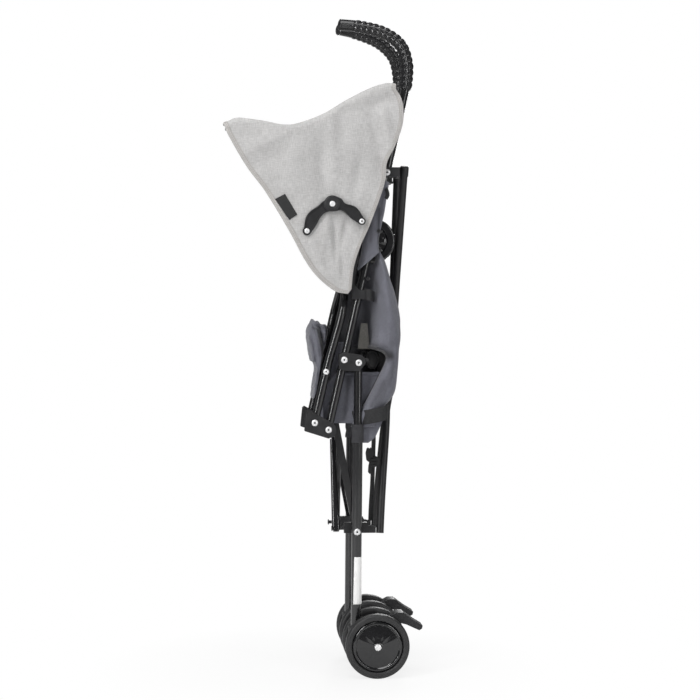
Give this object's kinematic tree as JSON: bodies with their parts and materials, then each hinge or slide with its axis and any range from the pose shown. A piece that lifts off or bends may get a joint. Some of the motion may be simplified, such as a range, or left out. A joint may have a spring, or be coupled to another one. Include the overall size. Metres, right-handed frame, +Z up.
{
  "type": "lightweight stroller",
  "caption": "Folding lightweight stroller, folded upright: hooked handles, scissor frame, paired wheels, grey cloth canopy and seat.",
  "frame": {"origin": "under the middle of the folded stroller, on the floor", "axes": "+X from the stroller's front to its back, +Y from its left side to its right, +Z up"},
  "size_m": [0.345, 0.2386, 1.1503],
  "materials": {
    "handle_paint": "satin black powder coat",
    "leg_paint": "satin black powder coat",
    "bar_paint": "satin black powder coat",
    "bracket_plastic": "fine-textured moulded plastic",
    "grip_foam": "matte moulded foam",
    "tyre_rubber": "matte foam rubber",
    "hub_plastic": "glossy moulded plastic",
    "axle_steel": "plated steel",
    "canopy_cloth": "woven warm grey melange",
    "seat_cloth": "woven blue grey polyester",
    "buckle_plastic": "smooth moulded plastic"
  },
  "bodies": {
    "left_frame": {"left_handle_tube": "handle_paint", "left_handle_grip": "grip_foam", "left_hinge_bracket": "bracket_plastic", "left_canopy_mount": "bracket_plastic", "canopy_left": "canopy_cloth", "canopy_top": "canopy_cloth", "seat_back": "seat_cloth", "seat_base": "seat_cloth", "harness_buckle": "buckle_plastic"},
    "left_rear_leg": {"left_rear_leg": "leg_paint", "left_rear_wheel_carrier": "bracket_plastic", "left_rear_axle": "axle_steel"},
    "left_brake_lever": {"left_brake_lever": "bracket_plastic"},
    "left_knee": {"left_knee_bracket": "bracket_plastic"},
    "left_front_leg": {"left_front_leg": "leg_paint", "left_front_swivel_housing": "bracket_plastic"},
    "left_caster": {"left_front_fork": "bracket_plastic", "left_front_axle": "axle_steel"},
    "left_side_link": {"left_side_link": "bar_paint"},
    "left_foot_bracket": {"left_foot_bracket": "bracket_plastic"},
    "left_brace_half": {"left_brace_half": "bar_paint"},
    "left_top_bracket": {"left_top_bracket": "bracket_plastic"},
    "left_cross_bar": {"left_cross_bar": "bar_paint"},
    "left_bow": {"left_canopy_bow": "bracket_plastic"},
    "left_stay_rear": {"left_stay_rear_arm": "bracket_plastic"},
    "left_stay_front": {"left_stay_front_arm": "bracket_plastic"},
    "left_rear_wheel_outer": {"left_rear_tyre_outer": "tyre_rubber", "left_rear_hub_outer": "hub_plastic"},
    "left_rear_wheel_inner": {"left_rear_tyre_inner": "tyre_rubber", "left_rear_hub_inner": "hub_plastic"},
    "left_front_wheel_outer": {"left_front_wheel_outer": "tyre_rubber"},
    "left_front_wheel_inner": {"left_front_wheel_inner": "tyre_rubber"},
    "right_frame": {"right_handle_tube": "handle_paint", "right_handle_grip": "grip_foam", "right_hinge_bracket": "bracket_plastic", "right_canopy_mount": "bracket_plastic"},
    "right_rear_leg": {"right_rear_leg": "leg_paint", "right_rear_wheel_carrier": "bracket_plastic", "right_rear_axle": "axle_steel"},
    "right_brake_lever": {"right_brake_lever": "bracket_plastic"},
    "right_knee": {"right_knee_bracket": "bracket_plastic"},
    "right_front_leg": {"right_front_leg": "leg_paint", "right_front_swivel_housing": "bracket_plastic"},
    "right_caster": {"right_front_fork": "bracket_plastic", "right_front_axle": "axle_steel"},
    "right_side_link": {"right_side_link": "bar_paint"},
    "right_foot_bracket": {"right_foot_bracket": "bracket_plastic"},
    "right_brace_half": {"right_brace_half": "bar_paint"},
    "right_top_bracket": {"right_top_bracket": "bracket_plastic"},
    "right_cross_bar": {"right_cross_bar": "bar_paint"},
    "right_bow": {"right_canopy_bow": "bracket_plastic"},
    "right_stay_rear": {"right_stay_rear_arm": "bracket_plastic"},
    "right_stay_front": {"right_stay_front_arm": "bracket_plastic"},
    "right_rear_wheel_outer": {"right_rear_tyre_outer": "tyre_rubber", "right_rear_hub_outer": "hub_plastic"},
    "right_rear_wheel_inner": {"right_rear_tyre_inner": "tyre_rubber", "right_rear_hub_inner": "hub_plastic"},
    "right_front_wheel_outer": {"right_front_wheel_outer": "tyre_rubber"},
    "right_front_wheel_inner": {"right_front_wheel_inner": "tyre_rubber"},
    "right_clip": {"canopy_right": "canopy_cloth"}
  },
  "joints": [
    {"name": "spread", "type": "slide", "parent": "left_frame", "child": "right_frame", "axis": [0, 1, 0], "range_m": [0, 0.21743], "deforming": ["seat_back", "seat_base", "canopy_top", "canopy_left", "canopy_right"]},
    {"name": "left_rear_leg_fold", "type": "hinge", "parent": "left_frame", "child": "left_rear_leg", "pos_m": [0.0619, -0.07, 0.5444], "axis": [0, -1, 0], "range_deg": [0, 50.58]},
    {"name": "left_knee_fold", "type": "hinge", "parent": "left_frame", "child": "left_knee", "pos_m": [0.0094, -0.07, 0.428], "axis": [0, -1, 0], "range_deg": [0, 98.4]},
    {"name": "left_front_leg_fold", "type": "hinge", "parent": "left_knee", "child": "left_front_leg", "pos_m": [-0.0146, -0.07, 0.4402], "axis": [0, -1, 0], "range_deg": [0, 98.4]},
    {"name": "left_side_link_fold", "type": "hinge", "parent": "left_rear_leg", "child": "left_side_link", "pos_m": [0.0592, -0.0552, 0.2499], "axis": [0, -1, 0], "range_deg": [0, 37.31]},
    {"name": "left_foot_fold", "type": "hinge", "parent": "left_rear_leg", "child": "left_foot_bracket", "pos_m": [0.0592, -0.07, 0.2499], "axis": [0, 1, 0], "range_deg": [0, 26.8]},
    {"name": "left_brace_fold", "type": "hinge", "parent": "left_foot_bracket", "child": "left_brace_half", "pos_m": [0.026, -0.0475, 0.253], "axis": [-1, 0, 0], "range_deg": [0, 72.32]},
    {"name": "left_top_fold", "type": "hinge", "parent": "left_frame", "child": "left_top_bracket", "pos_m": [0.111, -0.07, 0.8748], "axis": [0, -1, 0], "range_deg": [0, 23.78]},
    {"name": "left_bar_swing", "type": "hinge", "parent": "left_top_bracket", "child": "left_cross_bar", "pos_m": [0.1408, -0.054, 0.868], "axis": [0.9987, 0, -0.051], "range_deg": [0, 21.11]},
    {"name": "left_brake", "type": "hinge", "parent": "left_rear_leg", "child": "left_brake_lever", "pos_m": [0.106, -0.07, 0.09], "axis": [0, 1, 0], "range_deg": [0, 18]},
    {"name": "left_caster_swivel", "type": "hinge", "parent": "left_front_leg", "child": "left_caster", "pos_m": [0.05192, -0.034, 0.73273], "axis": [0.2217, 0, 0.9751], "range_deg": [-6, 6]},
    {"name": "left_rear_outer_spin", "type": "hinge", "parent": "left_rear_leg", "child": "left_rear_wheel_outer", "pos_m": [0.092, -0.105, 0.0556], "axis": [0, 1, 0], "continuous": true},
    {"name": "left_rear_inner_spin", "type": "hinge", "parent": "left_rear_leg", "child": "left_rear_wheel_inner", "pos_m": [0.092, -0.035, 0.0556], "axis": [0, 1, 0], "continuous": true},
    {"name": "left_front_outer_spin", "type": "hinge", "parent": "left_caster", "child": "left_front_wheel_outer", "pos_m": [0.08827, -0.052, 0.75728], "axis": [0, 1, 0], "continuous": true},
    {"name": "left_front_inner_spin", "type": "hinge", "parent": "left_caster", "child": "left_front_wheel_inner", "pos_m": [0.08827, -0.016, 0.75728], "axis": [0, 1, 0], "continuous": true},
    {"name": "right_rear_leg_fold", "type": "hinge", "parent": "right_frame", "child": "right_rear_leg", "pos_m": [0.0619, 0.07, 0.5444], "axis": [0, -1, 0], "range_deg": [0, 50.58]},
    {"name": "right_knee_fold", "type": "hinge", "parent": "right_frame", "child": "right_knee", "pos_m": [0.0094, 0.07, 0.428], "axis": [0, -1, 0], "range_deg": [0, 98.4]},
    {"name": "right_front_leg_fold", "type": "hinge", "parent": "right_knee", "child": "right_front_leg", "pos_m": [-0.0146, 0.07, 0.4402], "axis": [0, -1, 0], "range_deg": [0, 98.4]},
    {"name": "right_side_link_fold", "type": "hinge", "parent": "right_rear_leg", "child": "right_side_link", "pos_m": [0.0592, 0.0552, 0.2499], "axis": [0, -1, 0], "range_deg": [0, 37.31]},
    {"name": "right_foot_fold", "type": "hinge", "parent": "right_rear_leg", "child": "right_foot_bracket", "pos_m": [0.0592, 0.07, 0.2499], "axis": [0, 1, 0], "range_deg": [0, 26.8]},
    {"name": "right_brace_fold", "type": "hinge", "parent": "right_foot_bracket", "child": "right_brace_half", "pos_m": [0.026, 0.0475, 0.253], "axis": [1, 0, 0], "range_deg": [0, 72.32]},
    {"name": "right_top_fold", "type": "hinge", "parent": "right_frame", "child": "right_top_bracket", "pos_m": [0.111, 0.07, 0.8748], "axis": [0, -1, 0], "range_deg": [0, 23.78]},
    {"name": "right_bar_swing", "type": "hinge", "parent": "right_top_bracket", "child": "right_cross_bar", "pos_m": [0.1408, 0.054, 0.868], "axis": [-0.9987, 0, 0.051], "range_deg": [0, 21.11]},
    {"name": "right_brake", "type": "hinge", "parent": "right_rear_leg", "child": "right_brake_lever", "pos_m": [0.106, 0.07, 0.09], "axis": [0, 1, 0], "range_deg": [0, 18]},
    {"name": "right_caster_swivel", "type": "hinge", "parent": "right_front_leg", "child": "right_caster", "pos_m": [0.05192, 0.034, 0.73273], "axis": [0.2217, 0, 0.9751], "range_deg": [-6, 6]},
    {"name": "right_rear_outer_spin", "type": "hinge", "parent": "right_rear_leg", "child": "right_rear_wheel_outer", "pos_m": [0.092, 0.105, 0.0556], "axis": [0, 1, 0], "continuous": true},
    {"name": "right_rear_inner_spin", "type": "hinge", "parent": "right_rear_leg", "child": "right_rear_wheel_inner", "pos_m": [0.092, 0.035, 0.0556], "axis": [0, 1, 0], "continuous": true},
    {"name": "right_front_outer_spin", "type": "hinge", "parent": "right_caster", "child": "right_front_wheel_outer", "pos_m": [0.08827, 0.052, 0.75728], "axis": [0, 1, 0], "continuous": true},
    {"name": "right_front_inner_spin", "type": "hinge", "parent": "right_caster", "child": "right_front_wheel_inner", "pos_m": [0.08827, 0.016, 0.75728], "axis": [0, 1, 0], "continuous": true},
    {"name": "canopy_fold", "type": "hinge", "parent": "left_frame", "child": "left_bow", "pos_m": [0.048, -0.088, 0.682], "axis": [0, 1, 0], "range_deg": [-4, 22], "deforming": ["canopy_left", "canopy_right", "canopy_top"]},
    {"name": "bow_spread", "type": "slide", "parent": "left_bow", "child": "right_bow", "axis": [0, 1, 0], "range_m": [0, 0.21746]},
    {"name": "right_clip_fold", "type": "hinge", "parent": "right_bow", "child": "right_clip", "pos_m": [0.048, 0.088, 0.682], "axis": [0, 1, 0], "range_deg": [-30.01, 4.01]},
    {"name": "left_stay_fold", "type": "hinge", "parent": "left_frame", "child": "left_stay_rear", "pos_m": [0.0652, -0.1035, 0.7883], "axis": [0, 1, 0], "range_deg": [-7.95, 59.46]},
    {"name": "left_stay_elbow", "type": "hinge", "parent": "left_stay_rear", "child": "left_stay_front", "pos_m": [0.0144, -0.1005, 0.8179], "axis": [0, 1, 0], "range_deg": [-67, 8.95]},
    {"name": "right_stay_fold", "type": "hinge", "parent": "right_frame", "child": "right_stay_rear", "pos_m": [0.0652, 0.1035, 0.7883], "axis": [0, 1, 0], "range_deg": [-7.95, 59.46]},
    {"name": "right_stay_elbow", "type": "hinge", "parent": "right_stay_rear", "child": "right_stay_front", "pos_m": [0.0144, 0.1005, 0.8179], "axis": [0, 1, 0], "range_deg": [-67, 8.95]}
  ],
  "couplings": [
    {"joint": "left_rear_leg_fold", "follows": "spread", "rad_per_m": 4.0585},
    {"joint": "left_knee_fold", "follows": "spread", "rad_per_m": 7.897},
    {"joint": "left_front_leg_fold", "follows": "spread", "rad_per_m": 7.897},
    {"joint": "left_side_link_fold", "follows": "spread", "rad_per_m": 2.9941},
    {"joint": "left_foot_fold", "follows": "spread", "rad_per_m": 2.1505},
    {"joint": "left_brace_fold", "follows": "spread", "rad_per_m": 5.8036},
    {"joint": "left_top_fold", "follows": "spread", "rad_per_m": 1.908},
    {"joint": "left_bar_swing", "follows": "spread", "rad_per_m": 1.6937},
    {"joint": "right_rear_leg_fold", "follows": "spread", "rad_per_m": 4.0585},
    {"joint": "right_knee_fold", "follows": "spread", "rad_per_m": 7.897},
    {"joint": "right_front_leg_fold", "follows": "spread", "rad_per_m": 7.897},
    {"joint": "right_side_link_fold", "follows": "spread", "rad_per_m": 2.9941},
    {"joint": "right_foot_fold", "follows": "spread", "rad_per_m": 2.1505},
    {"joint": "right_brace_fold", "follows": "spread", "rad_per_m": 5.8036},
    {"joint": "right_top_fold", "follows": "spread", "rad_per_m": 1.908},
    {"joint": "right_bar_swing", "follows": "spread", "rad_per_m": 1.6937},
    {"joint": "bow_spread", "follows": "spread", "ratio": 1},
    {"joint": "right_clip_fold", "follows": "canopy_fold", "ratio": -1},
    {"joint": "left_stay_fold", "follows": "canopy_fold", "ratio": 1.9815},
    {"joint": "left_stay_elbow", "follows": "canopy_fold", "ratio": -2.2326},
    {"joint": "right_stay_fold", "follows": "canopy_fold", "ratio": 1.9815},
    {"joint": "right_stay_elbow", "follows": "canopy_fold", "ratio": -2.2326}
  ]
}
